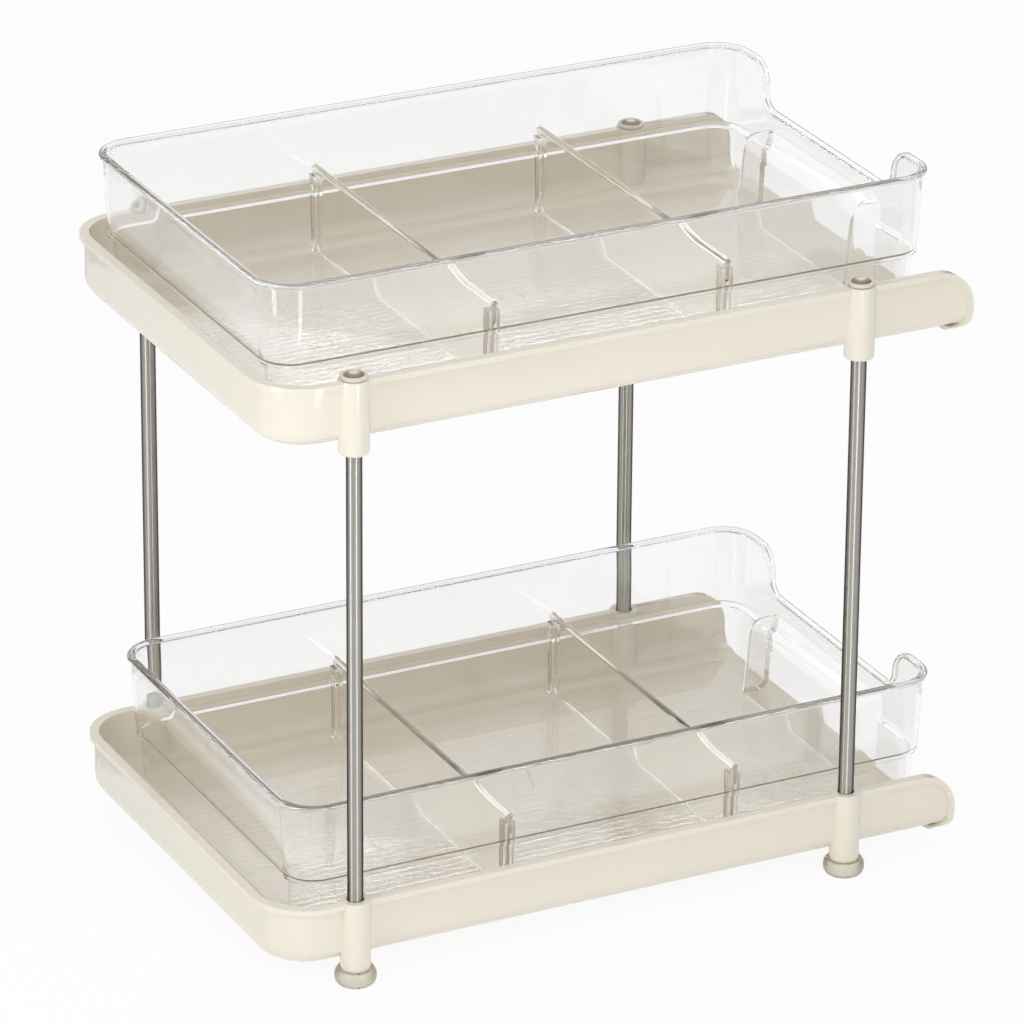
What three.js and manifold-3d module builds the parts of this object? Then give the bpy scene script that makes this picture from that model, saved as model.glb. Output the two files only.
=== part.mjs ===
// Two-tier slide-out organizer: two moulded trays on four steel tubes, each tray holding a
// clear bin that pulls out at the front, with two dividers that lift out of the bin.
//
// Millimetres, +Z up. +X is the open front, and left (-Y) and right (+Y) are as seen from there.
// The origin lies on the surface that the organizer stands on, in the middle of its trays.

import * as THREE from 'three';
import { mergeVertices } from 'three/addons/utils/BufferGeometryUtils.js';
import Module from 'manifold-3d';

const wasm = await Module();
wasm.setup();

// Stand: where the tubes are and how far apart the tiers stand
const tubeSpacingX = 277;
const tubeSpacingY = 247.4;
const rearTubeSetback = 45; // from the rear edge of the tray rim to the rear tubes
const tierPitch = 278.6;
const tubeDiameter = 8;
const tubeWall = 0.8;

// Tray: a shallow moulded channel, closed at the rear and open at the front
const trayLength = 385; // over the rim bead
const trayHeight = 33;
const trayWall = 2.5;
const trayCornerRadius = 27;
const trayFillet = 10;
const trayBeadProud = 2.4;
const trayBeadDepth = 3;
const trayEndRadius = 20; // top corner of each side wall, at the front
const trayToeRadius = 8; // bottom corner there, where the bead turns under the floor
const trayToeDrop = 2.4;

// Sockets moulded on the tray walls
const socketDiameter = 15.5;
const socketRise = 0.5; // above the tray rim
const socketDrop = 5.2; // below the tray's underside
const socketEdge = 1.5; // rounding of the lower edge
const tubeClearance = 0.45; // round the tube in its socket

// Bin: drafted walls with a shoulder, a rolled rim, a low front and a finger pocket
const binLength = 368; // over the rim bead
const binWidth = 220;
const binHeight = 76.4;
const binWall = 2.2;
const binCornerRadius = 19;
const binFillet = 6.5;
const binBeadProud = 2;
const binBeadDepth = 3;
const binSetback = 6.8; // from the rear edge of the tray rim to the rear edge of the bin rim
const lowerBinPulled = 10.5; // how far the lower bin stands pulled out
const binClearance = 0.3; // over the tray floor
const shoulderHeight = 32.2;
const shoulderInset = 2.5;
const shoulderRise = 1.2;
const upperDraft = 2;
const lowerDraft = 1;

// Low part of the bin's front wall
const dipDepth = 23;
const dipWidth = 132;
const dipLowerRadius = 8;
const dipUpperRadius = 14;

// Finger pocket under the low front, open to the front and below
const pocketWidth = 119;
const pocketHeight = 43.6;
const pocketDepth = 23.5;
const pocketLean = 4;
const pocketCorner = 9;
const pocketSideRadius = 4;

// Fine ribs along the bin floor
const ribPitch = 5.3;
const ribWidth = 1.6;
const ribHeight = 0.45;
const ribMargin = 10; // plain strip along the walls and the pocket

// Dividers and the rails that hold them
const dividerSpacing = 128;
const dividerShift = 3; // of the pair, towards the front
const dividerHeight = 45.4;
const dividerThickness = 2;
const dividerBeadWidth = 3.4;
const dividerBeadHeight = 3;
const dividerClearance = 0.3;
const railHeight = 41; // above the bin floor
const railReach = 3.6; // out of the lower wall
const railThickness = 1.7;

// Feet: soft cups pushed on the lower sockets
const footDiameter = 21.3;
const footHeight = 8.7;
const footCupDepth = 1.6;
const footStem = 5; // plug in the socket's bore
const footClearance = 0.3;

// Caps: soft buttons in the tops of the upper sockets
const capDiameter = 13.8;
const capRing = 2; // thickness of the round ring at its edge
const capWeb = 0.6; // thickness of the recess between the ring and the dome
const capDomeDiameter = 8.4;
const capDomeRise = 3.3;
const capStem = 4;
const capClearance = 0.3;

// Facets of round shapes, where an arc of a section or an outline has twice the steps given
const cornerSteps = 6;
const sectionSteps = 2;
const outlineSteps = 4;
const sideSteps = 3;
const roundSides = 16;
const overrun = 8; // how far a cutting shape reaches past what it cuts

// Places worked out from the sizes above
const trayRear = -trayLength / 2;
const trayFront = trayLength / 2;
const trayHalf = tubeSpacingY / 2 + trayWall / 2; // the tubes stand in the middle of the walls
const rearTubeX = trayRear + rearTubeSetback;
const frontTubeX = rearTubeX + tubeSpacingX;
const socketRadius = socketDiameter / 2;
const boreRadius = tubeDiameter / 2 + tubeClearance;
const socketFootZ = footHeight - footCupDepth + footClearance;
const trayBase = socketFootZ + socketDrop;
const trayRim = trayBase + trayHeight;
const socketTopZ = trayRim + socketRise;
const trayFloorZ = trayBase + trayWall;
const binBase = trayFloorZ + binClearance;
const binRearWall = -binLength / 2 + binBeadProud; // in the bin's own frame, centred on it
const binFrontWall = -binRearWall;
const binHalf = binWidth / 2 - binBeadProud;
const binHomeX = trayRear + binSetback + binLength / 2;
const lowInset = upperDraft + shoulderInset + lowerDraft; // of the wall's foot, from its rim
const binInnerHalf = binHalf - lowInset - binWall;
const binDipZ = binHeight - dipDepth;
const pocketFace = binFrontWall - pocketDepth;
const dividerFootZ = binWall + ribHeight + dividerClearance;
const dividerPlaces = {
  rear: dividerShift - dividerSpacing / 2,
  front: dividerShift + dividerSpacing / 2,
};

// Closed three.js geometry to a solid that can be joined and cut
function solid(geometry) {
  const shape = geometry.clone();
  shape.deleteAttribute('normal');
  shape.deleteAttribute('uv');
  const merged = mergeVertices(shape, 1e-4);
  return new wasm.Manifold(new wasm.Mesh({
    numProp: 3,
    vertProperties: new Float32Array(merged.attributes.position.array),
    triVerts: new Uint32Array(merged.index.array),
  }));
}

function geometryOf(body) {
  const mesh = body.getMesh();
  const geometry = new THREE.BufferGeometry();
  geometry.setAttribute('position', new THREE.BufferAttribute(new Float32Array(mesh.vertProperties), 3));
  geometry.setIndex(new THREE.BufferAttribute(new Uint32Array(mesh.triVerts), 1));
  geometry.computeVertexNormals();
  return geometry;
}

function joined(bodies) {
  return bodies.reduce((sum, body) => sum.add(body));
}

// Rounded rectangle at one height, counter-clockwise from above, drawn in from a plan by an inset
function planRing(plan, inset, z) {
  const corner = plan.corner - inset;
  const front = plan.front - inset - corner;
  const rear = plan.rear + inset + corner;
  const side = plan.half - inset - corner;
  const centres = [[front, side], [rear, side], [rear, -side], [front, -side]];
  const ring = [];
  centres.forEach(([x, y], quarter) => {
    for (let step = 0; step <= cornerSteps; step += 1) {
      const angle = (quarter + step / cornerSteps) * Math.PI / 2;
      ring.push(new THREE.Vector3(x + corner * Math.cos(angle), y + corner * Math.sin(angle), z));
    }
  });
  return ring;
}

// Solid lofted through the rings that a wall section (inset, height) draws round a plan
function lofted(plan, section) {
  const rings = section.getPoints(sectionSteps).map((point) => planRing(plan, point.x, point.y));
  const count = rings[0].length;
  const positions = rings.flat().flatMap((point) => point.toArray());
  const index = [];
  for (let level = 0; level + 1 < rings.length; level += 1) {
    for (let step = 0; step < count; step += 1) {
      const here = level * count + step;
      const next = level * count + (step + 1) % count;
      index.push(here, next, next + count, here, next + count, here + count);
    }
  }
  const top = (rings.length - 1) * count;
  for (let step = 1; step + 1 < count; step += 1) {
    index.push(0, step + 1, step, top, top + step, top + step + 1);
  }
  const geometry = new THREE.BufferGeometry();
  geometry.setAttribute('position', new THREE.Float32BufferAttribute(positions, 3));
  geometry.setIndex(index);
  return solid(geometry);
}

// Outline in X and Z, extruded along Y and centred on it
function acrossY(shape, width, sideRadius = 0) {
  const geometry = new THREE.ExtrudeGeometry(shape, {
    depth: width - 2 * sideRadius,
    curveSegments: outlineSteps,
    bevelEnabled: sideRadius > 0,
    bevelThickness: sideRadius,
    bevelSize: sideRadius,
    bevelOffset: -sideRadius,
    bevelSegments: sideSteps,
  });
  geometry.rotateX(Math.PI / 2);
  geometry.translate(0, width / 2 - sideRadius, 0);
  return solid(geometry);
}

// Outline in Y and Z, extruded along X from one place to another
function alongX(shape, from, to) {
  const geometry = new THREE.ExtrudeGeometry(shape, {
    depth: to - from,
    curveSegments: outlineSteps,
    bevelEnabled: false,
  });
  geometry.rotateX(Math.PI / 2);
  geometry.rotateZ(Math.PI / 2);
  geometry.translate(from, 0, 0);
  return solid(geometry);
}

function block(sizeX, sizeY, sizeZ, x, y, z) {
  return solid(new THREE.BoxGeometry(sizeX, sizeY, sizeZ).translate(x, y, z));
}

// Solid or ring turned round the Z axis from a closed outline of (radius, height) points
function turned(outline) {
  return new THREE.LatheGeometry(outline, roundSides).rotateX(Math.PI / 2);
}

function outlinePoints(path) {
  return path.getPoints(sectionSteps);
}

// Tray

// Wall section of the tray, drawn in from its outer faces by an offset
function traySection(offset, topZ) {
  const radius = trayFillet - offset;
  const bottom = trayBase + offset;
  const section = new THREE.Path();
  section.moveTo(offset + radius, bottom);
  section.absarc(offset + radius, bottom + radius, radius, -Math.PI / 2, -Math.PI, true);
  section.lineTo(offset, topZ);
  return section;
}

// Side view of the tray: square at the rear, rounded at the front, with the toe below the floor
function traySide(inset) {
  const rear = trayRear - overrun;
  const top = trayRim - inset;
  const front = trayFront - inset;
  const toeX = trayFront - trayToeRadius;
  const toeZ = trayBase - trayToeDrop + trayToeRadius;
  const endRadius = trayEndRadius - inset;
  const toeRadius = trayToeRadius - inset;
  const lipX = toeX - trayBeadDepth;
  const side = new THREE.Shape();
  side.moveTo(rear, trayBase - overrun);
  side.lineTo(lipX, trayBase - overrun);
  side.lineTo(lipX, toeZ - toeRadius);
  side.lineTo(toeX, toeZ - toeRadius);
  side.absarc(toeX, toeZ, toeRadius, -Math.PI / 2, 0, false);
  side.absarc(front - endRadius, top - endRadius, endRadius, 0, Math.PI / 2, false);
  side.lineTo(rear, top);
  return side;
}

// Post socket on the tray wall, with a rounded lower edge
function socketAt(x, y) {
  const outline = new THREE.Path();
  outline.moveTo(0, socketFootZ);
  outline.lineTo(socketRadius - socketEdge, socketFootZ);
  outline.absarc(socketRadius - socketEdge, socketFootZ + socketEdge, socketEdge, -Math.PI / 2, 0, false);
  outline.lineTo(socketRadius, socketTopZ);
  outline.lineTo(0, socketTopZ);
  return solid(turned(outlinePoints(outline)).translate(x, y, 0));
}

function boreAt(x, y) {
  const length = socketTopZ - socketFootZ + 2 * overrun;
  const geometry = new THREE.CylinderGeometry(boreRadius, boreRadius, length, roundSides);
  geometry.rotateX(Math.PI / 2);
  geometry.translate(x, y, (socketTopZ + socketFootZ) / 2);
  return solid(geometry);
}

const tubePlaces = [
  { name: 'rear_left', x: rearTubeX, y: -tubeSpacingY / 2 },
  { name: 'rear_right', x: rearTubeX, y: tubeSpacingY / 2 },
  { name: 'front_left', x: frontTubeX, y: -tubeSpacingY / 2 },
  { name: 'front_right', x: frontTubeX, y: tubeSpacingY / 2 },
];

function trayBody() {
  const plan = {
    rear: trayRear + trayBeadProud,
    front: trayFront + trayCornerRadius + overrun, // the front end is cut off by the side view
    half: trayHalf,
    corner: trayCornerRadius,
  };
  const inside = lofted(plan, traySection(trayWall, trayRim + overrun));
  const walls = lofted(plan, traySection(0, trayRim + overrun)).subtract(inside);
  const thickWalls = lofted(plan, traySection(-trayBeadProud, trayRim + overrun)).subtract(inside);
  const cutWidth = 2 * (trayHalf + trayBeadProud + overrun);
  const side = acrossY(traySide(0), cutWidth);
  const field = acrossY(traySide(trayBeadDepth), cutWidth);
  const channel = walls.intersect(side);
  const bead = thickWalls.intersect(side.subtract(field));
  const sockets = tubePlaces.map(({ x, y }) => socketAt(x, y));
  const bores = tubePlaces.map(({ x, y }) => boreAt(x, y));
  return joined([channel, bead, ...sockets]).subtract(joined(bores));
}

// Bin, in its own frame: X from its middle, Z from its underside

// Wall section of the bin from floor to rim, drawn in from the outer faces by an offset
function binSection(offset, topZ) {
  const foot = offset + lowInset;
  const radius = binFillet - offset;
  const ledge = shoulderHeight + offset;
  const section = new THREE.Path();
  section.moveTo(foot + radius, offset);
  section.absarc(foot + radius, offset + radius, radius, -Math.PI / 2, -Math.PI, true);
  section.lineTo(offset + upperDraft + shoulderInset, ledge - shoulderRise);
  section.lineTo(offset + upperDraft, ledge);
  section.lineTo(offset, binHeight);
  section.lineTo(offset, topZ);
  return section;
}

// Opening of the low front, looking along X, made larger by a margin on every side
function dipOutline(margin) {
  const side = dipWidth / 2 + margin;
  const floor = binDipZ - margin;
  const top = binHeight - margin;
  const lower = dipLowerRadius + margin;
  const upper = dipUpperRadius - margin;
  const shape = new THREE.Shape();
  shape.moveTo(-side - upper, binHeight + overrun);
  shape.lineTo(-side - upper, top);
  shape.absarc(-side - upper, top - upper, upper, Math.PI / 2, 0, true);
  shape.absarc(-side + lower, floor + lower, lower, Math.PI, Math.PI * 1.5, false);
  shape.absarc(side - lower, floor + lower, lower, -Math.PI / 2, 0, false);
  shape.absarc(side + upper, top - upper, upper, Math.PI, Math.PI / 2, true);
  shape.lineTo(side + upper, binHeight + overrun);
  return shape;
}

// Side view of the finger pocket, made larger by the wall that wraps it
function pocketOutline(margin) {
  const foot = pocketFace + binWall - margin;
  const top = pocketHeight - binWall + margin;
  const corner = pocketCorner - binWall + margin;
  const crown = foot + pocketLean;
  const shape = new THREE.Shape();
  shape.moveTo(binFrontWall + overrun * 2, -overrun * 2);
  shape.lineTo(binFrontWall + overrun * 2, top);
  shape.lineTo(crown + corner, top);
  shape.quadraticCurveTo(crown, top, crown - pocketLean * corner / top, top - corner);
  shape.lineTo(foot, 0);
  shape.lineTo(foot, -overrun * 2);
  return shape;
}

function pocketBody(margin) {
  const width = pocketWidth - 2 * binWall + 2 * margin;
  return acrossY(pocketOutline(margin), width, pocketSideRadius - binWall + margin);
}

// Pair of rails on each long wall for every divider
function rails() {
  const reach = railReach + lowInset + binWall / 2;
  const half = dividerThickness / 2 + dividerClearance + railThickness / 2;
  const parts = [];
  for (const place of Object.values(dividerPlaces)) {
    for (const x of [place - half, place + half]) {
      for (const side of [-1, 1]) {
        const y = side * (binInnerHalf - railReach + reach / 2);
        const sink = binWall / 2; // into the floor, so that the rail grows out of it
        parts.push(block(railThickness, reach, railHeight + sink, x, y, binWall + (railHeight - sink) / 2));
      }
    }
  }
  return parts;
}

// Low rounded ribs along the floor
function floorRibs() {
  const from = binRearWall + lowInset + binWall + ribMargin;
  const to = pocketFace - ribMargin;
  const count = Math.floor(2 * (binInnerHalf - ribMargin) / ribPitch);
  const parts = [];
  for (let rib = 0; rib <= count; rib += 1) {
    const y = (rib - count / 2) * ribPitch;
    const shape = new THREE.Shape();
    shape.moveTo(y - ribWidth / 2, binWall - ribHeight);
    shape.lineTo(y + ribWidth / 2, binWall - ribHeight);
    shape.lineTo(y + ribWidth / 2, binWall);
    shape.lineTo(y + ribWidth / 6, binWall + ribHeight);
    shape.lineTo(y - ribWidth / 6, binWall + ribHeight);
    shape.lineTo(y - ribWidth / 2, binWall);
    parts.push(alongX(shape, from, to));
  }
  return parts;
}

function binBody() {
  const plan = { rear: binRearWall, front: binFrontWall, half: binHalf, corner: binCornerRadius };
  const outside = lofted(plan, binSection(0, binHeight));
  const inside = lofted(plan, binSection(binWall, binHeight + overrun));
  const thick = lofted(plan, binSection(-binBeadProud, binHeight)).subtract(inside);
  const dip = alongX(dipOutline(0), 0, binFrontWall + overrun);
  const dipBand = alongX(dipOutline(binBeadDepth), 0, binFrontWall + overrun);
  const rimBand = block(binLength + overrun, binWidth + overrun, binBeadDepth, 0, 0, binHeight - binBeadDepth / 2);
  const bead = thick.intersect(rimBand.add(dipBand));
  const pocketWall = pocketBody(binWall).intersect(outside);
  const shell = outside.subtract(inside).add(bead).subtract(dip);
  return joined([shell, pocketWall, ...rails(), ...floorRibs()]).subtract(pocketBody(0));
}

// Divider, in the bin's frame: a plate that follows the shoulder, with a thicker top edge
function dividerBody() {
  const low = binInnerHalf - dividerClearance;
  const high = low + shoulderInset;
  const step = shoulderHeight + binWall + dividerClearance;
  const top = dividerFootZ + dividerHeight;
  const plate = new THREE.Shape();
  plate.moveTo(-low, dividerFootZ + binFillet);
  plate.absarc(-low + binFillet, dividerFootZ + binFillet, binFillet, Math.PI, Math.PI * 1.5, false);
  plate.absarc(low - binFillet, dividerFootZ + binFillet, binFillet, -Math.PI / 2, 0, false);
  plate.lineTo(low, step);
  plate.lineTo(high, step + shoulderInset);
  plate.lineTo(high, top - dividerBeadHeight / 2);
  plate.lineTo(-high, top - dividerBeadHeight / 2);
  plate.lineTo(-high, step + shoulderInset);
  plate.lineTo(-low, step);
  const half = dividerBeadWidth / 2;
  const bead = new THREE.Shape();
  bead.moveTo(-half, top - dividerBeadHeight);
  bead.lineTo(half, top - dividerBeadHeight);
  bead.absarc(0, top - half, half, 0, Math.PI, false);
  const sheet = alongX(plate, -dividerThickness / 2, dividerThickness / 2);
  return sheet.add(acrossY(bead, 2 * high));
}

// Foot: a soft bun on the socket's end, with a cup for it and a plug in its bore
function footGeometry() {
  const cup = socketRadius + footClearance;
  const floor = footHeight - footCupDepth;
  const waist = footHeight / 2;
  const plug = boreRadius - footClearance;
  const outline = new THREE.Path();
  outline.moveTo(0, 0);
  outline.lineTo(cup, 0);
  outline.absellipse(cup, waist, footDiameter / 2 - cup, waist, -Math.PI / 2, Math.PI / 2, false);
  outline.lineTo(cup, floor);
  outline.lineTo(plug, floor);
  outline.lineTo(plug, floor + footStem);
  outline.lineTo(0, floor + footStem);
  return turned(outlinePoints(outline));
}

// Cap: a button on the upper socket, with a dome inside a round ring and a plug in the bore
function capGeometry() {
  const seat = socketTopZ + tierPitch + capClearance;
  const dome = capDomeDiameter / 2;
  const plug = boreRadius - capClearance;
  const ring = capRing / 2;
  const ringCentre = capDiameter / 2 - ring;
  const web = seat + capWeb;
  const outline = new THREE.Path();
  outline.moveTo(0, seat - capStem);
  outline.lineTo(plug, seat - capStem);
  outline.lineTo(plug, seat);
  outline.lineTo(ringCentre, seat);
  outline.absarc(ringCentre, seat + ring, ring, -Math.PI / 2, Math.PI, false);
  outline.lineTo(ringCentre - ring, web);
  outline.lineTo(dome, web);
  outline.absellipse(0, web, dome, seat + capDomeRise - web, 0, Math.PI / 2, false);
  return turned(outlinePoints(outline));
}

// Tube between a foot's plug and a cap's plug, open at both ends
function tubeGeometry() {
  const bottom = footHeight - footCupDepth + footStem + footClearance;
  const top = socketTopZ + tierPitch - capStem;
  const outer = tubeDiameter / 2;
  const inner = outer - tubeWall;
  const corners = [[inner, bottom], [outer, bottom], [outer, top], [inner, top], [inner, bottom]];
  return turned(corners.map(([radius, z]) => new THREE.Vector2(radius, z)));
}

// Materials

function ivoryPlastic() {
  return new THREE.MeshStandardMaterial({ color: '#ece8db', roughness: 0.28, metalness: 0 });
}

function clearPlastic() {
  return new THREE.MeshStandardMaterial({
    color: '#e8ebee', roughness: 0.06, metalness: 0, transparent: true, opacity: 0.3,
  });
}

function polishedSteel() {
  return new THREE.MeshStandardMaterial({ color: '#c9c7c3', roughness: 0.16, metalness: 1 });
}

function tanVinyl() {
  return new THREE.MeshStandardMaterial({ color: '#c8bb9f', roughness: 0.35, metalness: 0 });
}

// Assembly

const organizer = new THREE.Group();

function place(parent, name, geometry, material, x = 0, y = 0) {
  const mesh = new THREE.Mesh(geometry, material);
  mesh.name = name;
  mesh.position.set(x, y, 0);
  parent.add(mesh);
}

const trayGeometry = geometryOf(trayBody());
const binGeometry = geometryOf(binBody());
const dividerGeometry = geometryOf(dividerBody());
const tiers = [
  { name: 'lower', lift: 0, pulled: lowerBinPulled },
  { name: 'upper', lift: tierPitch, pulled: 0 },
];

for (const tier of tiers) {
  const level = new THREE.Group();
  level.position.z = tier.lift;
  place(level, `${tier.name}_tray`, trayGeometry, ivoryPlastic());
  const drawer = new THREE.Group();
  drawer.position.set(binHomeX + tier.pulled, 0, binBase);
  place(drawer, `${tier.name}_bin`, binGeometry, clearPlastic());
  for (const [end, x] of Object.entries(dividerPlaces)) {
    place(drawer, `${tier.name}_${end}_divider`, dividerGeometry, clearPlastic(), x);
  }
  level.add(drawer);
  organizer.add(level);
}

for (const { name, x, y } of tubePlaces) {
  place(organizer, `${name}_tube`, tubeGeometry(), polishedSteel(), x, y);
  place(organizer, `${name}_foot`, footGeometry(), tanVinyl(), x, y);
  place(organizer, `${name}_cap`, capGeometry(), tanVinyl(), x, y);
}

export default organizer;
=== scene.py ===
import math

import bmesh
import bpy
from mathutils import Matrix, Vector


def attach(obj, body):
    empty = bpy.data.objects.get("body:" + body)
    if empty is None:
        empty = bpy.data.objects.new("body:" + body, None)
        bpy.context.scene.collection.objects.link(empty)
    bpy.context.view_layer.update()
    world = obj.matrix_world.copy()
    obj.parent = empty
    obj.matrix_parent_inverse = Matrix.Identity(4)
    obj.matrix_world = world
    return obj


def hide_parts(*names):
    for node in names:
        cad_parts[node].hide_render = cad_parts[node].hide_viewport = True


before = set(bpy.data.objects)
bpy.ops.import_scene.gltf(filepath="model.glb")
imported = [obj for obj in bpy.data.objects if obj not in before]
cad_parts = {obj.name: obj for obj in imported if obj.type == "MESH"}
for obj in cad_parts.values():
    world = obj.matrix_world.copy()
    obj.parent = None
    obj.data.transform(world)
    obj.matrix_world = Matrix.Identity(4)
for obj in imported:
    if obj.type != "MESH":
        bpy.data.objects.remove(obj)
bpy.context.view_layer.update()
scene = bpy.context.scene
scene.view_settings.view_transform = "Standard"
mm = 0.001
print("frame loaded:", len(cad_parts), "nodes")


# sizes shared by several pieces, in mm and in the frame of the CAD model
stand = {
    "tubeX": {"rear": -147.5, "front": 129.5},
    "tubeY": {"left": -123.7, "right": 123.7},
    "tierPitch": 278.6,
    "socketTop": 46.1, "socketRadius": 7.75, "boreRadius": 4.45,
    "binUnderside": 15.4, "lowerBinX": 8.8, "upperBinX": -1.7,
}
binPlaces = {  # middle in x, underside in z
    "lower": (stand["lowerBinX"], stand["binUnderside"]),
    "upper": (stand["upperBinX"], stand["binUnderside"] + stand["tierPitch"]),
}


# small helpers

def linear(hexColour):
    parts = [int(hexColour[i:i + 2], 16) / 255 for i in (1, 3, 5)]
    return [c / 12.92 if c <= 0.04045 else ((c + 0.055) / 1.055) ** 2.4 for c in parts] + [1.0]


def addNode(tree, kind, settings=None, links=None):
    node = tree.nodes.new(kind)
    for key, value in (settings or {}).items():
        if isinstance(key, int) or key in node.inputs:
            node.inputs[key].default_value = value
        else:
            setattr(node, key, value)
    for key, source in (links or {}).items():
        tree.links.new(source, node.inputs[key])
    return node


def newMaterial(name):
    material = bpy.data.materials.new(name)
    material.use_nodes = True
    material.node_tree.nodes.clear()
    return material, material.node_tree


def newObject(name, mesh):
    obj = bpy.data.objects.new(name, mesh)
    scene.collection.objects.link(obj)
    return obj


def meshFrom(name, points, faces):
    mesh = bpy.data.meshes.new(name)
    mesh.from_pydata([(x * mm, y * mm, z * mm) for x, y, z in points], [], faces)
    mesh.update()
    return mesh


def meshFromBmesh(name, bm):
    bmesh.ops.recalc_face_normals(bm, faces=bm.faces)
    mesh = bpy.data.meshes.new(name)
    bm.to_mesh(mesh)
    bm.free()
    return mesh


def smoothShade(mesh, degrees):
    mesh.shade_smooth()
    mesh.set_sharp_from_angle(angle=math.radians(degrees))


def arc(cx, cy, rx, ry, start, end, steps):
    turns = [math.radians(start + (end - start) * i / steps) for i in range(steps + 1)]
    return [(cx + rx * math.cos(t), cy + ry * math.sin(t)) for t in turns]


# joins, cuts or keeps the common part of two meshes, and leaves one mesh
def combined(mesh, tool, operation):
    base = newObject("base", mesh)
    other = newObject("tool", tool)
    step = base.modifiers.new("step", "BOOLEAN")
    step.operation = operation
    step.solver = "EXACT"
    step.object = other
    seen = base.evaluated_get(bpy.context.evaluated_depsgraph_get())
    result = bpy.data.meshes.new_from_object(seen)
    result.name = mesh.name
    for obj in (base, other):
        bpy.data.objects.remove(obj)
    return result


# closed outline of (x, z) points, extruded along y, with its two ends rounded over
def extrudedAcross(name, outline, width, sideRadius, segments=4):
    bm = bmesh.new()
    rows = [[bm.verts.new((x * mm, side * width / 2 * mm, z * mm)) for x, z in outline] for side in (-1, 1)]
    ends = [bm.faces.new(row) for row in rows]
    for i in range(len(outline)):
        k = (i + 1) % len(outline)
        bm.faces.new((rows[0][i], rows[0][k], rows[1][k], rows[1][i]))
    bmesh.ops.recalc_face_normals(bm, faces=bm.faces)
    edges = list({edge for face in ends for edge in face.edges})
    bmesh.ops.bevel(bm, geom=edges, offset=sideRadius * mm, segments=segments, profile=0.5, affect="EDGES")
    return meshFromBmesh(name, bm)


# closed outline of (radius, z) points turned round the z axis
def turned(name, outline, sides=64):
    points, faces, rows = [], [], []
    turns = [2 * math.pi * i / sides for i in range(sides)]
    for radius, z in outline:
        if radius < 1e-6:
            rows.append([len(points)])
            points.append((0, 0, z))
            continue
        rows.append(list(range(len(points), len(points) + sides)))
        points += [(radius * math.cos(t), radius * math.sin(t), z) for t in turns]
    for low, high in zip(rows, rows[1:] + rows[:1]):
        if len(low) == 1 and len(high) == 1:
            continue
        for i in range(sides):
            k = (i + 1) % sides
            if len(low) == 1:
                faces.append((low[0], high[k], high[i]))
            elif len(high) == 1:
                faces.append((low[i], low[k], high[0]))
            else:
                faces.append((low[i], low[k], high[k], high[i]))
    bm = bmesh.new()
    bm.from_mesh(meshFrom(name, points, faces))
    return meshFromBmesh(name, bm)


# closed skin over rings of points, each ring with as many points as the last
def lofted(name, rings):
    count = len(rings[0])
    points = [p for ring in rings for p in ring]
    faces = [tuple(reversed(range(count)))]
    for r in range(len(rings) - 1):
        for i in range(count):
            k = (i + 1) % count
            faces.append((r * count + i, r * count + k, (r + 1) * count + k, (r + 1) * count + i))
    faces.append(tuple(range((len(rings) - 1) * count, len(rings) * count)))
    bm = bmesh.new()
    bm.from_mesh(meshFrom(name, points, faces))
    bmesh.ops.remove_doubles(bm, verts=bm.verts, dist=1e-6)
    return meshFromBmesh(name, bm)


# moulded polypropylene, high gloss: a warm ivory with soft reflections that waver a little over sink marks
def mouldedIvoryPolypropylene():
    material, tree = newMaterial("mouldedIvoryPolypropylene")
    place = addNode(tree, "ShaderNodeTexCoord").outputs["Object"]
    flow = addNode(tree, "ShaderNodeTexNoise", {  # flow marks, 70 mm
        "Scale": 1 / (70 * mm), "Detail": 3.0, "Roughness": 0.5,
    }, {"Vector": place})
    colour = addNode(tree, "ShaderNodeMix", {
        "data_type": "RGBA", 6: linear("#ECE6D7"), 7: linear("#F0EADC"),
    }, {0: flow.outputs["Fac"]})
    haze = addNode(tree, "ShaderNodeTexNoise", {"Scale": 1 / (9 * mm), "Detail": 4.0}, {"Vector": place})
    rough = addNode(tree, "ShaderNodeMapRange", {
        "From Min": 0.3, "From Max": 0.7, "To Min": 0.1, "To Max": 0.17,
    }, {"Value": haze.outputs["Fac"]})
    sink = addNode(tree, "ShaderNodeTexNoise", {"Scale": 1 / (30 * mm), "Detail": 1.0}, {"Vector": place})
    grain = addNode(tree, "ShaderNodeTexNoise", {"Scale": 1 / (1.2 * mm), "Detail": 2.0}, {"Vector": place})
    waver = addNode(tree, "ShaderNodeBump", {"Strength": 0.03, "Distance": 0.6 * mm}, {
        "Height": sink.outputs["Fac"],
    })
    skin = addNode(tree, "ShaderNodeBump", {"Strength": 0.02, "Distance": 0.1 * mm}, {
        "Height": grain.outputs["Fac"], "Normal": waver.outputs["Normal"],
    })
    shader = addNode(tree, "ShaderNodeBsdfPrincipled", {
        "IOR": 1.49, "Subsurface Weight": 0.06,
        "Subsurface Radius": (4 * mm, 3 * mm, 2 * mm), "Subsurface Scale": 1.0,
    }, {
        "Base Color": colour.outputs[2], "Roughness": rough.outputs["Result"],
        "Normal": skin.outputs["Normal"],
    })
    addNode(tree, "ShaderNodeOutputMaterial", links={"Surface": shader.outputs["BSDF"]})
    return material


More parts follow.
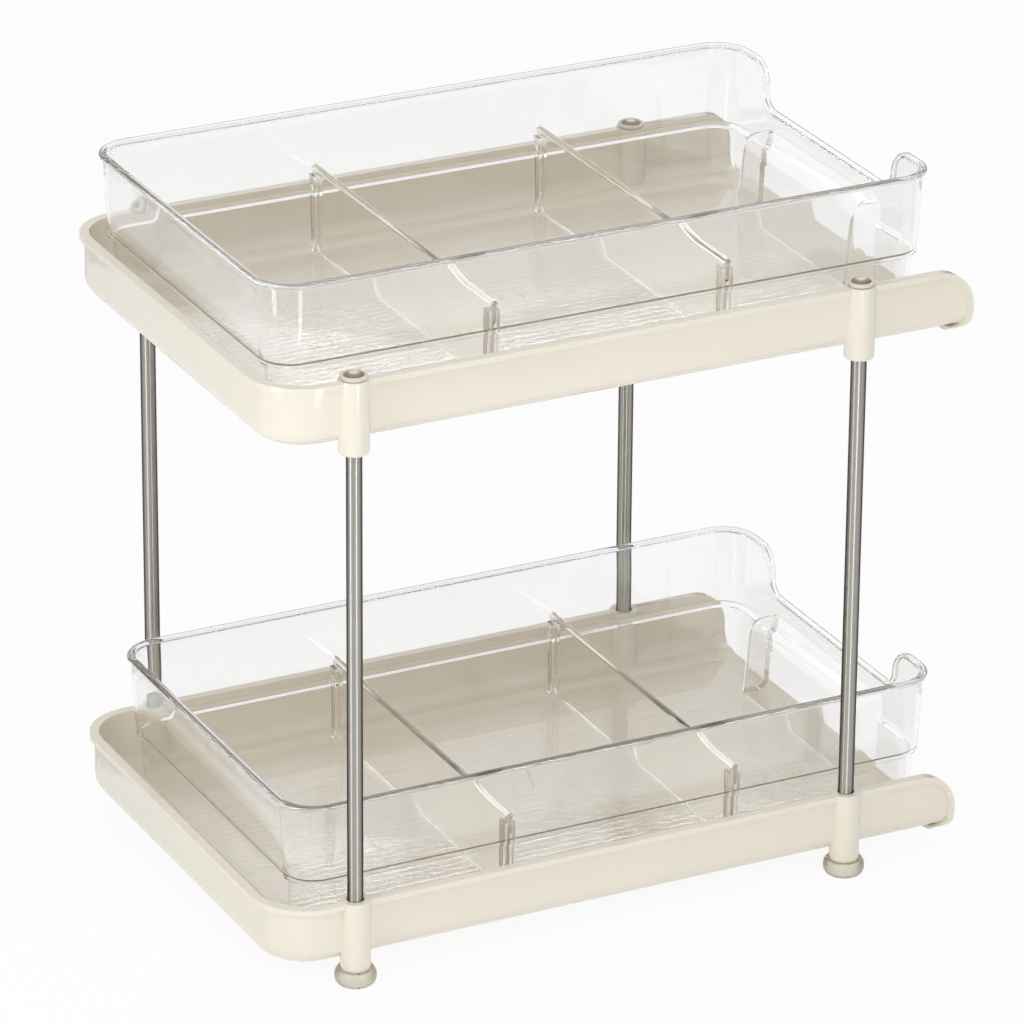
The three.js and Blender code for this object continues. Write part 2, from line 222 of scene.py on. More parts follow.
# clear polystyrene, injection moulded: almost colourless and glossy, with faint flow waves and a fine haze;
# the thicker bead along the top shows more of its tint
def mouldedClearPolystyrene(name, look):
    material, tree = newMaterial(name)
    place = addNode(tree, "ShaderNodeTexCoord").outputs["Object"]
    wave = addNode(tree, "ShaderNodeTexNoise", {"Scale": 1 / (40 * mm), "Detail": 1.5}, {"Vector": place})
    bend = addNode(tree, "ShaderNodeBump", {"Strength": 0.015, "Distance": 0.6 * mm}, {
        "Height": wave.outputs["Fac"],
    })
    haze = addNode(tree, "ShaderNodeTexNoise", {"Scale": 1 / (12 * mm), "Detail": 4.0}, {"Vector": place})
    rough = addNode(tree, "ShaderNodeMapRange", {
        "From Min": 0.35, "From Max": 0.75, "To Min": 0.015, "To Max": 0.05,
    }, {"Value": haze.outputs["Fac"]})
    height = addNode(tree, "ShaderNodeSeparateXYZ", links={"Vector": place}).outputs["Z"]
    thick = addNode(tree, "ShaderNodeMapRange", {
        "From Min": look["beadFrom"] * mm, "From Max": look["beadTo"] * mm,
    }, {"Value": height})
    colour = addNode(tree, "ShaderNodeMix", {
        "data_type": "RGBA", 6: linear(look["wall"]), 7: linear(look["bead"]),
    }, {0: thick.outputs["Result"]})
    shader = addNode(tree, "ShaderNodeBsdfPrincipled", {"IOR": 1.57, "Transmission Weight": 1.0}, {
        "Base Color": colour.outputs[2], "Roughness": rough.outputs["Result"],
        "Normal": bend.outputs["Normal"],
    })
    path = addNode(tree, "ShaderNodeLightPath")
    # light that has run along inside the wall comes out again, as it does at the ends of the real piece
    led = addNode(tree, "ShaderNodeMapRange", {"From Min": 4.0, "From Max": 6.0}, {
        "Value": path.outputs["Ray Depth"],
    })
    # lamps and pale neighbours light what lies behind the plastic
    lit = addNode(tree, "ShaderNodeMath", {"operation": "MAXIMUM"}, {
        0: path.outputs["Is Shadow Ray"], 1: path.outputs["Is Diffuse Ray"],
    })
    free = addNode(tree, "ShaderNodeMath", {"operation": "MAXIMUM"}, {
        0: lit.outputs[0], 1: led.outputs["Result"],
    })
    passing = addNode(tree, "ShaderNodeBsdfTransparent", {"Color": linear("#FBFAF9")})
    mix = addNode(tree, "ShaderNodeMixShader", links={
        0: free.outputs[0], 1: shader.outputs["BSDF"], 2: passing.outputs["BSDF"],
    })
    addNode(tree, "ShaderNodeOutputMaterial", links={"Surface": mix.outputs["Shader"]})
    return material


# stainless tube, drawn and polished: fine rings of polishing marks stretch each highlight along the tube, and
# the rounding-off sides get a painted reflection: their colour is darkened towards near black
def polishedStainlessTube():
    material, tree = newMaterial("polishedStainlessTube")
    place = addNode(tree, "ShaderNodeTexCoord").outputs["Object"]
    # marks 0.6 mm apart and 20 mm long: ones as fine as on a real tube would not show
    rings = addNode(tree, "ShaderNodeMapping", {
        "Scale": (1 / (20 * mm), 1 / (20 * mm), 1 / (0.6 * mm)),
    }, {"Vector": place})
    marks = addNode(tree, "ShaderNodeTexNoise", {"Scale": 1.0, "Detail": 3.0}, {
        "Vector": rings.outputs["Vector"],
    })
    polish = addNode(tree, "ShaderNodeMix", {
        "data_type": "RGBA", 6: linear("#B4B1AB"), 7: linear("#C6C3BD"),
    }, {0: marks.outputs["Fac"]})
    # painted reflection: where the surface turns away from the camera the colour goes near black
    facing = addNode(tree, "ShaderNodeLayerWeight", {"Blend": 0.5}).outputs["Facing"]
    paintedDarkSides = addNode(tree, "ShaderNodeMapRange", {"From Min": 0.28, "From Max": 0.58}, {"Value": facing})
    colour = addNode(tree, "ShaderNodeMix", {"data_type": "RGBA", 7: linear("#332F2B")}, {
        0: paintedDarkSides.outputs["Result"], 6: polish.outputs[2],
    })
    rough = addNode(tree, "ShaderNodeMapRange", {
        "From Min": 0.3, "From Max": 0.7, "To Min": 0.34, "To Max": 0.42,
    }, {"Value": marks.outputs["Fac"]})
    ringwise = addNode(tree, "ShaderNodeTangent", {"direction_type": "RADIAL", "axis": "Z"})
    shader = addNode(tree, "ShaderNodeBsdfPrincipled", {
        "Metallic": 1.0, "Anisotropic": 1.0, "Anisotropic Rotation": 0.25,
    }, {
        "Base Color": colour.outputs[2], "Roughness": rough.outputs["Result"],
        "Tangent": ringwise.outputs["Tangent"],
    })
    addNode(tree, "ShaderNodeOutputMaterial", links={"Surface": shader.outputs["BSDF"]})
    return material


# soft vinyl, moulded: half see-through, so thin edges look lighter; inside a set radius it is painted deeper
# and browner as painted shade, and the middle is painted milky white as a painted highlight
def mouldedSoftVinyl(name, look):
    material, tree = newMaterial(name)
    place = addNode(tree, "ShaderNodeTexCoord").outputs["Object"]
    cloud = addNode(tree, "ShaderNodeTexNoise", {"Scale": 1 / (4 * mm), "Detail": 3.0}, {"Vector": place})
    pale = addNode(tree, "ShaderNodeMix", {
        "data_type": "RGBA", 6: linear(look["pale"]), 7: linear(look["milkyAndPaintedHighlight"]),
    }, {0: cloud.outputs["Fac"]})
    level = addNode(tree, "ShaderNodeVectorMath", {"operation": "MULTIPLY", 1: (1.0, 1.0, 0.0)}, {0: place})
    radius = addNode(tree, "ShaderNodeVectorMath", {"operation": "LENGTH"}, {0: level.outputs["Vector"]})
    # painted shade: inside this radius the colour turns to the darker, browner shade colour
    inside = addNode(tree, "ShaderNodeMapRange", {
        "From Min": look["ringInner"] * mm, "From Max": look["recess"] * mm,
    }, {"Value": radius.outputs["Value"]})
    paintedShade = addNode(tree, "ShaderNodeMix", {"data_type": "RGBA", 7: linear(look["paintedShade"])}, {
        0: inside.outputs["Result"], 6: pale.outputs[2],
    })
    # painted highlight: near the axis the colour turns milky white
    middle = addNode(tree, "ShaderNodeMapRange", {
        "From Min": look["coreOuter"] * mm, "From Max": look["core"] * mm,
    }, {"Value": radius.outputs["Value"]})
    colour = addNode(tree, "ShaderNodeMix", {"data_type": "RGBA", 7: linear(look["milkyAndPaintedHighlight"])}, {
        0: middle.outputs["Result"], 6: paintedShade.outputs[2],
    })
    rough = addNode(tree, "ShaderNodeMapRange", {
        "To Min": look["gloss"], "To Max": look["dull"],
    }, {"Value": cloud.outputs["Fac"]})
    skin = addNode(tree, "ShaderNodeBump", {"Strength": 0.06, "Distance": 0.3 * mm}, {
        "Height": cloud.outputs["Fac"],
    })
    shader = addNode(tree, "ShaderNodeBsdfPrincipled", {
        "IOR": 1.53, "Transmission Weight": look["clear"], "Subsurface Weight": 0.5,
        "Subsurface Radius": (6 * mm, 4.5 * mm, 2.5 * mm), "Subsurface Scale": 1.0,
    }, {
        "Base Color": colour.outputs[2], "Roughness": rough.outputs["Result"],
        "Normal": skin.outputs["Normal"],
    })
    addNode(tree, "ShaderNodeOutputMaterial", links={"Surface": shader.outputs["BSDF"]})
    return material


ivory = mouldedIvoryPolypropylene()
clear = mouldedClearPolystyrene("mouldedClearPolystyrene", {
    "wall": "#FBFBFB", "bead": "#EEF1F5", "beadFrom": 73.0, "beadTo": 73.5,
})
warmClear = mouldedClearPolystyrene("mouldedWarmPolystyrene", {
    "wall": "#FBFAF7", "bead": "#EFEBDA", "beadFrom": 45.2, "beadTo": 45.7,
})
steel = polishedStainlessTube()
# feet: the middle of the underside and the stem's tip get the painted shade, with a painted highlight at the
# very centre
footVinyl = mouldedSoftVinyl("mouldedTanVinyl", {
    "pale": "#D9D0B8", "milkyAndPaintedHighlight": "#E6DFCC", "paintedShade": "#CFC3A8", "clear": 0.6, "gloss": 0.24, "dull": 0.34,
    "ringInner": 4.0, "recess": 2.0, "coreOuter": 1.0, "core": 0.5,
})
# caps: painted shade browns the recess round the dome and the dome's edge, and a painted highlight whitens
# the dome's top
capVinyl = mouldedSoftVinyl("mouldedPaleVinyl", {
    "pale": "#E6DFD0", "milkyAndPaintedHighlight": "#F4F0E8", "paintedShade": "#A98D6C", "clear": 0.1, "gloss": 0.12, "dull": 0.22,
    "ringInner": 5.3, "recess": 4.6, "coreOuter": 3.0, "core": 1.6,
})
print("materials made: 6")


# puts a piece in the place of its CAD node
def standsFor(mesh, node, body, material, at=(0, 0, 0)):
    obj = newObject(node + "_look", mesh)
    obj.location = [v * mm for v in at]
    obj.data.materials.clear()
    obj.data.materials.append(material)
    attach(obj, body)
    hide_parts(node)
    return obj


# trays: the CAD solid with its edges rounded over
trayLook = {"edge": 0.6, "edgeSegments": 2, "sharp": 33, "smooth": 40, "flat": 0.4}


def trayMesh(node):
    bm = bmesh.new()
    bm.from_mesh(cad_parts[node].data)
    bmesh.ops.remove_doubles(bm, verts=bm.verts, dist=1e-6)
    bmesh.ops.dissolve_limit(bm, angle_limit=math.radians(trayLook["flat"]), verts=bm.verts, edges=bm.edges)
    mesh = meshFromBmesh(node, bm)
    smoothShade(mesh, trayLook["smooth"])
    return mesh


for tier in ("lower", "upper"):
    tray = standsFor(trayMesh(tier + "_tray"), tier + "_tray", "stand", ivory)
    edge = tray.modifiers.new("edge", "BEVEL")
    edge.width = trayLook["edge"] * mm
    edge.segments = trayLook["edgeSegments"]
    edge.limit_method = "ANGLE"
    edge.angle_limit = math.radians(trayLook["sharp"])
    edge.harden_normals = True
print("trays made")


# bins: a swept shell with a rounded rim bead that follows the low front
binShape = {
    "front": 182.0, "half": 108.0, "corner": 19.0, "height": 76.4, "wall": 2.2,
    "fillet": 6.5, "beadProud": 2.0, "beadDepth": 3.0, "lipRadius": 0.8,
    "ledge": 32.2, "ledgeInset": 2.5, "ledgeRise": 1.2, "upperDraft": 2.0, "lowerDraft": 1.0,
    "ledgeFoot": [(0.03, -0.8), (-0.05, -0.2), (-0.45, 0.15)],  # rounds the ledge where it leaves the wall
    "ledgeHead": [(0.5, -0.25), (0.1, 0.15)],  # and where the upper wall starts
    "dipDepth": 23.0, "dipHalf": 66.0, "dipLower": 8.0, "dipUpper": 14.0, "dipSteps": 6,
    "cornerSteps": 12, "arcSteps": 10, "filletSteps": 6, "beadSteps": 8, "lipSteps": 4, "sideStep": 30.0,
    "wallShares": (0.2, 0.45, 0.7), "smooth": 35, "crisp": 0.2,
}
pocketShape = {
    "width": 119.0, "height": 43.6, "depth": 23.5, "lean": 4.0, "corner": 9.0, "side": 4.0,
    "overrun": 16.0, "bendSteps": 6, "trimTop": (1.3, 48.0), "trimGap": 0.02,
}
railShape = {"height": 41.0, "reach": 3.6, "thickness": 1.7, "root": 1.0}
ribShape = {
    "pitch": 5.3, "width": 1.4, "margin": 10.0,
    "height": 0.035,  # lower than in the solids, so that the lines on the clear floor stay faint
    "profile": [(-0.5, -1.0), (-0.5, 0.0), (-0.3, 0.7), (-0.12, 1.0),
                (0.12, 1.0), (0.3, 0.7), (0.5, 0.0), (0.5, -1.0)],
}
gateShape = {  # plain ring left by the moulding gate
    "radius": 6.0, "width": 0.5, "height": 0.2, "edge": 0.1, "root": 0.5, "sides": 48,
}
dividerShape = {
    "places": {"rear": -61.0, "front": 67.0}, "height": 45.4, "thickness": 2.0,
    "beadWidth": 3.4, "beadHeight": 3.0, "beadEdge": 0.5, "beadEnd": 0.45, "gap": 0.3, "ribs": 0.45,
    "filletSteps": 6, "beadSteps": 10, "edgeSteps": 3, "endSegments": 2, "smooth": 40,
}
# from the rim's outline in to the wall's foot
lowerInset = binShape["upperDraft"] + binShape["ledgeInset"] + binShape["lowerDraft"]


def binWallInset(z, offset):
    ledge = binShape["ledge"] + offset
    top = binShape["height"]
    share = (top - z) / (top - ledge)
    return offset + binShape["upperDraft"] * share


# one entry per column of the shell: centre, way outward, the rim's height and the way down into the wall
def binColumns():
    b = binShape
    x, y = b["front"] - b["corner"], b["half"] - b["corner"]
    top, low = b["height"], b["height"] - b["dipDepth"]
    columns = []

    def flat(cx, cy, dx, dy):
        columns.append({"centre": (cx, cy), "out": (dx, dy), "rim": top, "down": (0.0, -1.0)})

    def run(x0, y0, x1, y1, dx, dy):
        count = max(1, round(math.hypot(x1 - x0, y1 - y0) / b["sideStep"]))
        for i in range(1, count):
            flat(x0 + (x1 - x0) * i / count, y0 + (y1 - y0) * i / count, dx, dy)

    def turn(cx, cy, start):
        for i in range(b["cornerSteps"] + 1):
            angle = math.radians(start + 90 * i / b["cornerSteps"])
            flat(cx, cy, math.cos(angle), math.sin(angle))

    turn(x, y, 0)
    run(x, y, -x, y, 0, 1)
    turn(-x, y, 90)
    run(-x, y, -x, -y, -1, 0)
    turn(-x, -y, 180)
    run(-x, -y, x, -y, 0, -1)
    turn(x, -y, 270)
    # the front, from left to right: over the left shoulder, down, along the low rim and up again
    half, up, down = b["dipHalf"], b["dipUpper"], b["dipLower"]
    turns = [math.radians(90 * i / b["arcSteps"]) for i in range(b["arcSteps"] + 1)]
    path = [(-half - up + up * math.sin(t), top - up + up * math.cos(t), -math.sin(t), -math.cos(t))
            for t in turns]
    path += [(-half + down - down * math.cos(t), low + down - down * math.sin(t), -math.cos(t), -math.sin(t))
             for t in turns]
    rise = [(-py, pz, -my, mz) for py, pz, my, mz in reversed(path)]
    count = b["dipSteps"]
    path += [(-half + down + 2 * (half - down) * i / count, low, 0.0, -1.0) for i in range(1, count)]
    for py, pz, my, mz in path + rise:
        columns.append({"centre": (x, py), "out": (1.0, 0.0), "rim": pz, "down": (my, mz)})
    return columns


# ring of points at one inset from the rim's outline and one height
def levelRing(columns, inset, z):
    r = binShape["corner"] - inset
    return [(c["centre"][0] + r * c["out"][0], c["centre"][1] + r * c["out"][1], z) for c in columns]


def binShell():
    b = binShape
    columns = binColumns()
    wall, ledge, draft = b["wall"], b["ledge"], b["upperDraft"]

    # ring on the upper wall: a share of the way from the ledge to the bead, or at a depth below the rim
    def upperRing(offset, proud, depth, share=1.0):
        ring = []
        start = ledge + offset
        for c in columns:
            (cx, cy), (dx, dy), (my, mz) = c["centre"], c["out"], c["down"]
            side = my * depth * share
            z = start + (c["rim"] + mz * depth - start) * share
            r = b["corner"] - binWallInset(z, offset) + proud
            ring.append((cx + r * dx - side * dy, cy + r * dy + side * dx, z))
        return ring

    # from the floor's fillet up to the foot of the upper wall, outside or inside the shell
    def lowerRings(offset):
        radius = b["fillet"] - offset
        side = arc(offset + lowerInset + radius, offset + radius, radius, radius, 270, 180, b["filletSteps"])
        inner, rise = offset + draft + b["ledgeInset"], ledge + offset - b["ledgeRise"]
        side += [(inner + dx, rise + dz) for dx, dz in b["ledgeFoot"]]
        side += [(offset + draft + dx, ledge + offset + dz) for dx, dz in b["ledgeHead"]]
        return [levelRing(columns, inset, z) for inset, z in side]

    rings = lowerRings(0.0)
    rings += [upperRing(0.0, 0.0, b["beadDepth"], share) for share in b["wallShares"] + (1.0,)]
    middle = b["beadDepth"] / 2
    bead = arc(0.0, middle, b["beadProud"], middle, 90, -90, b["beadSteps"])[1:]
    lip = b["lipRadius"]
    bead += arc(lip - wall, lip, lip, lip, 270, 180, b["lipSteps"])
    rings += [upperRing(0.0, proud, depth) for proud, depth in bead]
    rings += [upperRing(wall, 0.0, b["beadDepth"], share) for share in reversed(b["wallShares"])]
    rings += reversed(lowerRings(wall))
    return lofted("binShell", rings)


# plain loft of the bin's outside, which trims the pocket's wall
def binOutside():
    b, gap = binShape, pocketShape["trimGap"]
    columns = binColumns()
    section = arc(lowerInset + b["fillet"], b["fillet"], b["fillet"], b["fillet"], 270, 180, b["filletSteps"])
    section += [(b["upperDraft"] + b["ledgeInset"], b["ledge"] - b["ledgeRise"])]
    section += [(b["upperDraft"], b["ledge"]), pocketShape["trimTop"]]
    return lofted("binOutside", [levelRing(columns, inset + gap, z + gap) for inset, z in section])


# finger pocket, made larger by a margin: its side view with a rounded top corner, across its width
def pocketMesh(margin):
    p, wall, front = pocketShape, binShape["wall"], binShape["front"]
    foot = front - p["depth"] + wall - margin
    top = p["height"] - wall + margin
    corner = p["corner"] - wall + margin
    crown = foot + p["lean"]
    start, knee, end = (crown + corner, top), (crown, top), (crown - p["lean"] * corner / top, top - corner)
    bend = []
    for i in range(p["bendSteps"] + 1):
        t = i / p["bendSteps"]
        bend.append([(1 - t) ** 2 * a + 2 * t * (1 - t) * k + t * t * e for a, k, e in zip(start, knee, end)])
    far = front + p["overrun"]
    outline = [(far, -p["overrun"]), (far, top)] + bend + [(foot, 0), (foot, -p["overrun"])]
    width = p["width"] - 2 * wall + 2 * margin
    return extrudedAcross("pocket", outline, width, p["side"] - wall + margin)


def railMesh():
    b, r, d = binShape, railShape, dividerShape
    inner = b["half"] - lowerInset - b["wall"] - r["reach"]
    outer = b["half"] - b["upperDraft"] - b["ledgeInset"] - r["root"]
    half = d["thickness"] / 2 + d["gap"]
    low, high = b["wall"] / 2, b["wall"] + r["height"]
    bm = bmesh.new()
    for place in d["places"].values():
        before, behind = place - half, place + half
        for spanX in ((before - r["thickness"], before), (behind, behind + r["thickness"])):
            for spanY in ((-outer, -inner), (inner, outer)):
                for v in bmesh.ops.create_cube(bm, size=1.0)["verts"]:  # unit cube, stretched to a rail
                    spans = zip(v.co, (spanX, spanY, (low, high)))
                    v.co = [(start + (share + 0.5) * (end - start)) * mm for share, (start, end) in spans]
    return meshFromBmesh("rails", bm)


def ribMesh():
    b, r = binShape, ribShape
    foot = lowerInset + b["wall"]
    ends = (-b["front"] + foot + r["margin"], b["front"] - pocketShape["depth"] - r["margin"])
    count = math.floor(2 * (b["half"] - foot - r["margin"]) / r["pitch"])
    points, faces = [], []
    n = len(r["profile"])
    for i in range(count + 1):
        y = (i - count / 2) * r["pitch"]
        base = len(points)
        for x in ends:
            points += [(x, y + sy * r["width"], b["wall"] + sz * r["height"]) for sy, sz in r["profile"]]
        faces += [tuple(range(base, base + n)), tuple(range(base + 2 * n - 1, base + n - 1, -1))]
        faces += [(base + j, base + n + j, base + n + (j + 1) % n, base + (j + 1) % n) for j in range(n)]
    bm = bmesh.new()
    bm.from_mesh(meshFrom("ribs", points, faces))
    return meshFromBmesh("ribs", bm)


def gateMesh():
    g, floor = gateShape, binShape["wall"]
    inner, outer = g["radius"] - g["width"] / 2, g["radius"] + g["width"] / 2
    top, root, edge = floor + ribShape["height"] + g["height"], floor - g["root"], g["edge"]
    outline = [(inner, root), (outer, root), (outer, top - edge), (outer - edge, top)]
    outline += [(inner + edge, top), (inner, top - edge)]
    return turned("gate", outline, g["sides"])


def binMesh():
    wallRound = combined(pocketMesh(binShape["wall"]), binOutside(), "INTERSECT")
    mesh = binShell()
    for addition in (wallRound, railMesh(), ribMesh(), gateMesh()):
        mesh = combined(mesh, addition, "UNION")
    mesh = combined(mesh, pocketMesh(0.0), "DIFFERENCE")
    mesh.name = "bin"
    smoothShade(mesh, binShape["smooth"])
    floor = binShape["wall"] * mm
    for face in mesh.polygons:  # the floor and its low ribs stay crisp
        if abs(face.center.z - floor) < binShape["crisp"] * mm and abs(face.normal.z) > 0.5:
            face.use_smooth = False
    return mesh


binLook = binMesh()
print("bin mesh:", len(binLook.vertices), "points")
for tier, (x, z) in binPlaces.items():
    standsFor(binLook.copy(), tier + "_bin", tier + "_drawer", clear, (x, 0, z))


# dividers: a plate that steps out over the ledge, with a rounded bead along its top
def dividerMesh():
    b, d = binShape, dividerShape
    foot = b["wall"] + d["ribs"] + d["gap"]
    low = b["half"] - lowerInset - b["wall"] - d["gap"]
    high = low + b["ledgeInset"]
    step = b["ledge"] + b["wall"] + d["gap"]
    top = foot + d["height"]
    right = arc(low - b["fillet"], foot + b["fillet"], b["fillet"], b["fillet"], 270, 360, d["filletSteps"])
    right += [(low, step), (high, step + b["ledgeInset"]), (high, top - d["beadHeight"] / 2)]
    outline = right + [(-y, z) for y, z in reversed(right)]
    bm = bmesh.new()
    faces = [[(side * d["thickness"] / 2 * mm, y * mm, z * mm) for y, z in outline] for side in (-1, 1)]
    rows = [[bm.verts.new(point) for point in face] for face in faces]
    for row in rows:
        bm.faces.new(row)
    for i in range(len(outline)):
        k = (i + 1) % len(outline)
        bm.faces.new((rows[0][i], rows[0][k], rows[1][k], rows[1][i]))
    plate = meshFromBmesh("divider", bm)
    half, edge = d["beadWidth"] / 2, d["beadEdge"]
    below = top - d["beadHeight"] + edge
    section = arc(0, top - half, half, half, 0, 180, d["beadSteps"])
    section += arc(-half + edge, below, edge, edge, 180, 270, d["edgeSteps"])
    section += arc(half - edge, below, edge, edge, 270, 360, d["edgeSteps"])
    bead = extrudedAcross("bead", section, 2 * high, d["beadEnd"], d["endSegments"])
    mesh = combined(plate, bead, "UNION")
    smoothShade(mesh, d["smooth"])
    return mesh


dividerLook = dividerMesh()
for tier, (x, z) in binPlaces.items():
    for end, place in dividerShape["places"].items():
        node, body = f"{tier}_{end}_divider", f"{tier}_{end}_partition"
        standsFor(dividerLook.copy(), node, body, warmClear, (x + place, 0, z))
print("bins and dividers made")


# tubes, feet and caps, turned
tubeShape = {"radius": 4.0, "wall": 0.8, "bottom": 12.4, "top": 320.7, "edge": 0.2, "smooth": 35}
footShape = {
    "radius": 10.65, "height": 8.7, "cup": 1.6, "gap": 0.3, "snug": 0.06, "stem": 5.0, "stemEdge": 0.5,
    "tread": 1.2, "heel": (0.4, 0.12), "lip": (0.03, 0.15), "lipDrop": 0.4, "swell": 84, "swellSteps": 18,
    "smooth": 40,
}
capShape = {
    "radius": 6.9, "ring": 2.0, "web": 0.6, "dome": 4.2, "rise": 3.3, "stem": 4.0, "stemEdge": 0.5,
    "gap": 0.3, "snug": 0.06, "recessEdge": (0.2, 0.15), "domeFoot": 0.1, "ringSteps": 18, "domeSteps": 10,
    "smooth": 50,
}


def tubeMesh():
    t = tubeShape
    inner, outer, edge = t["radius"] - t["wall"], t["radius"], t["edge"]
    outline = [(inner, t["bottom"]), (outer - edge, t["bottom"]), (outer, t["bottom"] + edge)]
    outline += [(outer, t["top"] - edge), (outer - edge, t["top"]), (inner, t["top"])]
    mesh = turned("tube", outline)
    smoothShade(mesh, t["smooth"])
    return mesh


def footMesh():
    f = footShape
    cup = stand["socketRadius"] + f["snug"]
    height, floor = f["height"], f["height"] - f["cup"]
    plug, tip = stand["boreRadius"] - f["gap"], floor + f["stem"]
    outline = [(0, 0), (cup - f["tread"], 0), (cup - f["heel"][0], f["heel"][1])]
    outline += arc(cup, height / 2, f["radius"] - cup, height / 2, -f["swell"], f["swell"], f["swellSteps"])
    outline += [(cup + f["lip"][0], height - f["lip"][1]), (cup, height - f["lipDrop"]), (cup, floor)]
    outline += [(plug, floor), (plug, tip - f["stemEdge"]), (plug - f["stemEdge"], tip), (0, tip)]
    mesh = turned("foot", outline)
    smoothShade(mesh, f["smooth"])
    return mesh


def capMesh():
    c = capShape
    seat = stand["socketTop"] + stand["tierPitch"] + c["gap"]
    plug, tip = stand["boreRadius"] - c["gap"], seat - c["stem"]
    ring = c["ring"] / 2
    tall = ring + (c["gap"] - c["snug"]) / 2  # the ring reaches down to the socket
    web, middle = seat + c["web"], c["radius"] - ring
    outline = [(0, tip), (plug - c["stemEdge"], tip), (plug, tip + c["stemEdge"])]
    outline += [(plug, seat - c["gap"] + c["snug"])]
    outline += arc(middle, seat + 2 * ring - tall, ring, tall, -90, 180, c["ringSteps"])
    inner = middle - ring
    outline += [(inner, web + c["recessEdge"][1]), (inner - c["recessEdge"][0], web)]
    outline += [(c["dome"] + c["domeFoot"], web)]
    outline += arc(0, web, c["dome"], seat + c["rise"] - web, 0, 90, c["domeSteps"])
    mesh = turned("cap", outline)
    smoothShade(mesh, c["smooth"])
    return mesh


tubeLook, footLook, capLook = tubeMesh(), footMesh(), capMesh()
for end, x in stand["tubeX"].items():
    for side, y in stand["tubeY"].items():
        post = f"{end}_{side}_"
        standsFor(tubeLook.copy(), post + "tube", "stand", steel, (x, y, 0))
        standsFor(footLook.copy(), post + "foot", "stand", footVinyl, (x, y, 0))
        standsFor(capLook.copy(), post + "cap", "stand", capVinyl, (x, y, 0))
print("tubes, feet and caps made")


# stage: white paper, a dark wall for reflections, soft boxes and the camera of the photograph
studio = {
    "paper": "#FFFFFF", "paperHalf": 9000, "glow": 0.92, "room": 0.5,
    "wall": "#1E1D1C", "wallRadius": 2200, "wallHeight": 800, "wallSides": 48,
    "boxes": [
        # name, azimuth, distance, height of its middle, height it looks at, width, height, watts
        ("stripLeft", -70.0, 0.76, 0.32, 0.32, 0.145, 0.5, 1.15),
        ("stripRight", -7.0, 0.76, 0.29, 0.29, 0.135, 0.58, 1.15),
        ("overhead", -30.0, 0.75, 1.75, 0.18, 1.6, 1.6, 6.6),
        ("fillBehind", 150.0, 1.5, 1.7, 0.18, 1.3, 1.0, 6.5),
    ],
}
view = {
    "azimuth": -26.713, "elevation": 23.884, "roll": 0.441, "distance": 3395.0, "aim": (3.26, 7.08, 173.8),
    "lens": 233.42, "sensor": 36.0, "reach": 50.0,
}


def backVector(azimuth, elevation):
    a, e = math.radians(azimuth), math.radians(elevation)
    return Vector((math.sin(a) * math.cos(e), -math.cos(a) * math.cos(e), math.sin(e)))


# 1 where the camera sees the surface, also mirrored or through clear plastic, and 0 where it lights others
def seenByCamera(tree):
    path = addNode(tree, "ShaderNodeLightPath")
    seen = addNode(tree, "ShaderNodeMath", {"operation": "MAXIMUM"}, {
        0: path.outputs["Is Camera Ray"], 1: path.outputs["Is Glossy Ray"],
    })
    return addNode(tree, "ShaderNodeMath", {"operation": "MAXIMUM"}, {
        0: seen.outputs[0], 1: path.outputs["Is Transmission Ray"],
    }).outputs[0]


# seamless paper, matte: white all over, with a trace of the object's shadow
def matteWhitePaper():
    material, tree = newMaterial("matteWhitePaper")
    share = addNode(tree, "ShaderNodeMath", {"operation": "MULTIPLY", 1: studio["glow"]}, {
        0: seenByCamera(tree),
    })
    sheet = addNode(tree, "ShaderNodeBsdfDiffuse", {"Color": linear(studio["paper"])})
    glow = addNode(tree, "ShaderNodeEmission", {"Color": linear(studio["paper"]), "Strength": 1.0})
    mix = addNode(tree, "ShaderNodeMixShader", links={
        0: share.outputs[0], 1: sheet.outputs["BSDF"], 2: glow.outputs["Emission"],
    })
    addNode(tree, "ShaderNodeOutputMaterial", links={"Surface": mix.outputs["Shader"]})
    return material


# painted board, matte: near black, so that steel and plastic have something dark to mirror
def matteDarkBoard():
    material, tree = newMaterial("matteDarkBoard")
    board = addNode(tree, "ShaderNodeBsdfDiffuse", {"Color": linear(studio["wall"])})
    addNode(tree, "ShaderNodeOutputMaterial", links={"Surface": board.outputs["BSDF"]})
    return material


half = studio["paperHalf"]
corners = [(-half, -half, 0), (half, -half, 0), (half, half, 0), (-half, half, 0)]
paper = newObject("paper", meshFrom("paper", corners, [(0, 1, 2, 3)]))
paper.data.materials.append(matteWhitePaper())

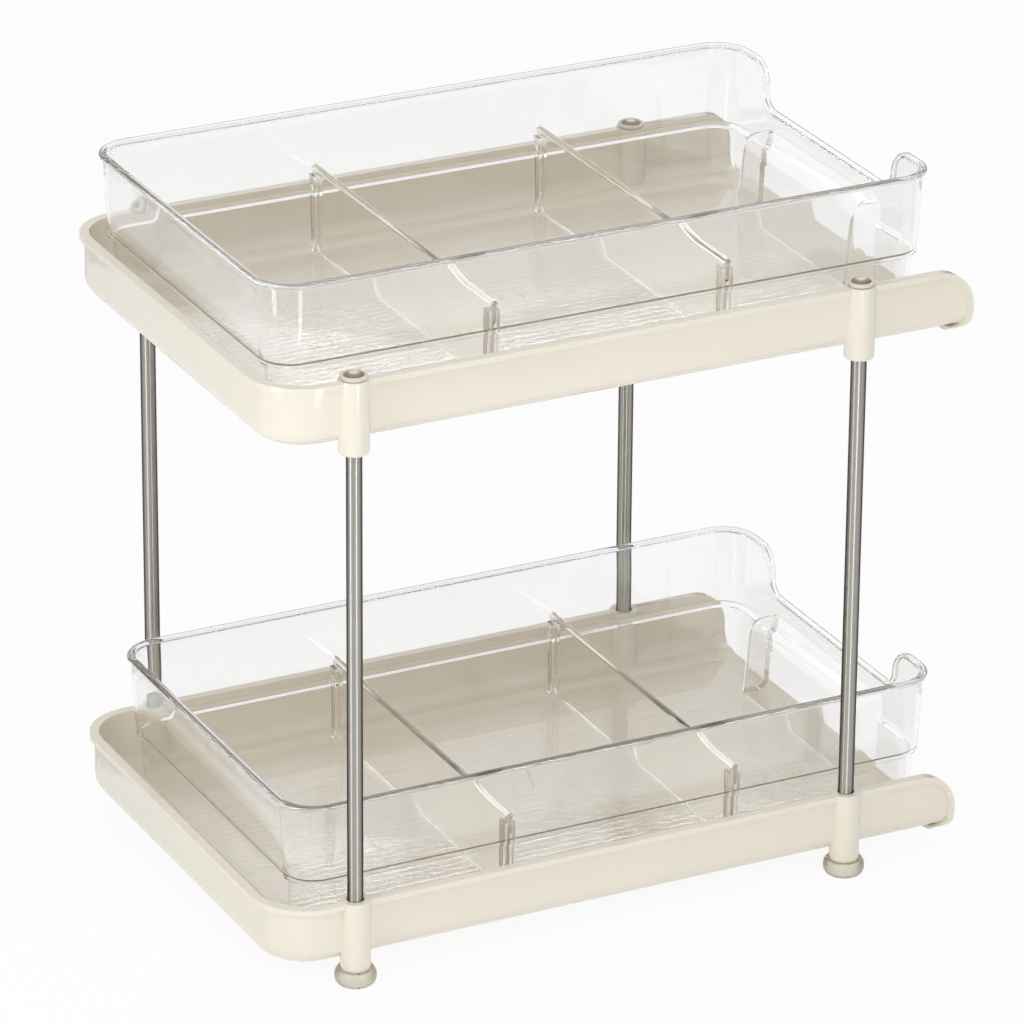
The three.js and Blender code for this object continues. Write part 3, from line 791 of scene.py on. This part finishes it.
# only reflections see the dark wall
sides = studio["wallSides"]
foot = arc(0, 0, studio["wallRadius"], studio["wallRadius"], 0, 360, sides)[:sides]
points = [(x, y, z) for z in (0, studio["wallHeight"]) for x, y in foot]
faces = [(i, (i + 1) % sides, sides + (i + 1) % sides, sides + i) for i in range(sides)]
card = newObject("ringCard", meshFrom("ringCard", points, faces))
card.data.materials.append(matteDarkBoard())
card.visible_camera = card.visible_diffuse = card.visible_transmission = card.visible_shadow = False

world = bpy.data.worlds.new("studio")
scene.world = world
world.use_nodes = True
tree = world.node_tree
tree.nodes.clear()
room = addNode(tree, "ShaderNodeBackground", {"Color": linear(studio["paper"]), "Strength": studio["room"]})
white = addNode(tree, "ShaderNodeBackground", {"Color": linear(studio["paper"]), "Strength": 1.0})
sky = addNode(tree, "ShaderNodeMixShader", links={
    0: seenByCamera(tree), 1: room.outputs["Background"], 2: white.outputs["Background"],
})
addNode(tree, "ShaderNodeOutputWorld", links={"Surface": sky.outputs["Shader"]})

for name, azimuth, distance, middle, aim, width, height, watts in studio["boxes"]:
    lamp = bpy.data.lights.new(name, "AREA")
    lamp.shape = "RECTANGLE"
    lamp.size, lamp.size_y, lamp.energy = width, height, watts
    box = newObject(name, lamp)
    box.visible_camera = box.visible_transmission = False
    box.location = backVector(azimuth, 0) * distance + Vector((0, 0, middle))
    box.rotation_euler = (Vector((0, 0, aim)) - box.location).to_track_quat("-Z", "Y").to_euler()

camera = newObject("camera", bpy.data.cameras.new("camera"))
camera.data.lens = view["lens"]
camera.data.sensor_width = view["sensor"]
camera.data.clip_end = view["reach"]
back = backVector(view["azimuth"], view["elevation"])
right = Vector((math.cos(math.radians(view["azimuth"])), math.sin(math.radians(view["azimuth"])), 0))
up = back.cross(right)
roll = math.radians(view["roll"])
axes = [math.cos(roll) * right + math.sin(roll) * up, math.cos(roll) * up - math.sin(roll) * right, back]
turnMatrix = Matrix([[axis[i] for axis in axes] for i in range(3)])
cameraPlace = Vector(view["aim"]) * mm + back * view["distance"] * mm
camera.matrix_world = Matrix.Translation(cameraPlace) @ turnMatrix.to_4x4()
scene.camera = camera
print("stage and camera set")
